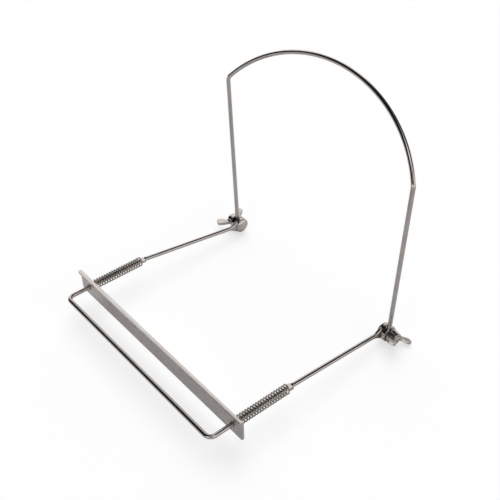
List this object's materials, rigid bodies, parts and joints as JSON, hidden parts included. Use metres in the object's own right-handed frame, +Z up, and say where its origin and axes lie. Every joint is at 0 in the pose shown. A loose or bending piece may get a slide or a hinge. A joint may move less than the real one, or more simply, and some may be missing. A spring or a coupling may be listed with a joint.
{
  "type": "harmonica holder",
  "caption": "Bent wire neck holder: a sprung sliding plate grips a small mouth-blown instrument against a crossbar, on arms that fold about wing nut joints.",
  "frame": {"origin": "axis of the wire at the rearmost point of the neck loop, on the middle plane", "axes": "+X to the wearer's right, +Y rearward from the crossbar to the neck, +Z up along the legs"},
  "size_m": [0.1978, 0.1851, 0.1792],
  "materials": {
    "nickel_wire": "bright nickel plate on drawn steel wire",
    "nickel_plate": "bright nickel plate on thin sheet steel",
    "spring_steel": "nickel plated spring wire",
    "nickel_fitting": "bright nickel plate on turned and cast steel"
  },
  "bodies": {
    "neck_frame": {"neck_wire": "nickel_wire", "leg_eye_left": "nickel_fitting", "leg_eye_right": "nickel_fitting", "lock_washer_left": "nickel_fitting", "lock_washer_right": "nickel_fitting"},
    "arm_frame": {"clamp_wire": "nickel_wire", "arm_eye_left": "nickel_fitting", "arm_eye_right": "nickel_fitting", "pivot_bolt_left": "nickel_fitting", "pivot_bolt_right": "nickel_fitting", "clamp_spring_left": "spring_steel", "clamp_spring_right": "spring_steel"},
    "clamp_plate": {"clamp_plate": "nickel_plate"},
    "wing_nut_left": {"wing_nut_left": "nickel_fitting"},
    "wing_nut_right": {"wing_nut_right": "nickel_fitting"}
  },
  "joints": [
    {"name": "arm_fold", "type": "hinge", "parent": "neck_frame", "child": "arm_frame", "pos_m": [0, -0.02261, -0.17022], "axis": [1, 0, 0], "range_deg": [-78, 260]},
    {"name": "plate_slide", "type": "slide", "parent": "arm_frame", "child": "clamp_plate", "axis": [0, 1, 0], "range_m": [0, 0.022], "stiffness_N_per_m": 4200, "deforming": ["clamp_spring_left", "clamp_spring_right"]},
    {"name": "nut_turn_left", "type": "hinge", "parent": "arm_frame", "child": "wing_nut_left", "pos_m": [0, -0.02261, -0.17022], "axis": [1, 0, 0], "continuous": true},
    {"name": "nut_turn_right", "type": "hinge", "parent": "arm_frame", "child": "wing_nut_right", "pos_m": [0, -0.02261, -0.17022], "axis": [1, 0, 0], "continuous": true}
  ]
}
